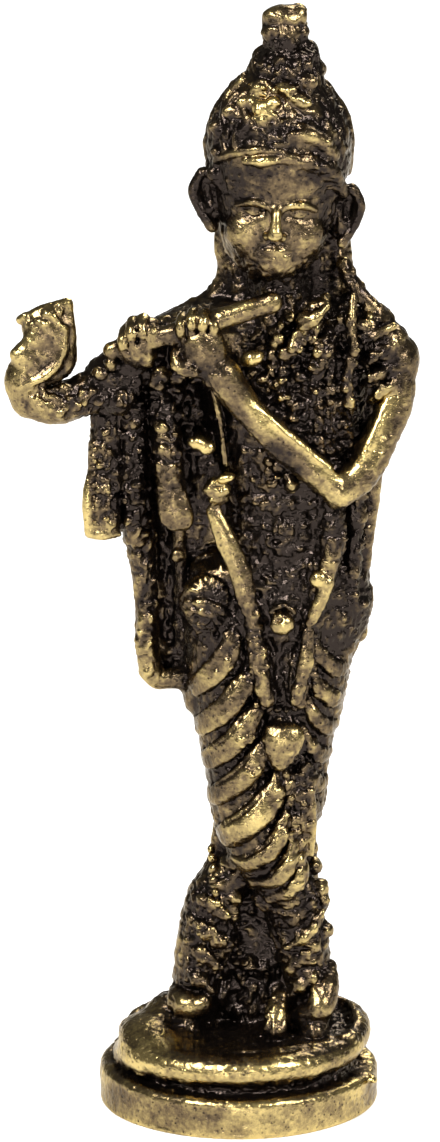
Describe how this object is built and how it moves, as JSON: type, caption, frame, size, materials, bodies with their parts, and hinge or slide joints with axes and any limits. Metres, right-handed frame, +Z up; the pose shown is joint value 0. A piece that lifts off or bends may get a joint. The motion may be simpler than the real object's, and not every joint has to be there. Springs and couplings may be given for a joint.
{
  "type": "krishna figure",
  "caption": "Miniature solid-cast brass flute player in a tall beaded crown, standing cross-legged on a round plinth of stacked rings cast in one with it.",
  "frame": {"origin": "centre of the plinth's flat underside", "axes": "+Z up through the crown, -Y the way the figure faces, +X to the viewer's right"},
  "size_m": [0.0164, 0.011, 0.045],
  "materials": {
    "brass": "blackened cast surface, rubbed back to yellow brass on the high points"
  },
  "bodies": {
    "root": {"flute_player_figure": "brass"}
  },
  "joints": []
}
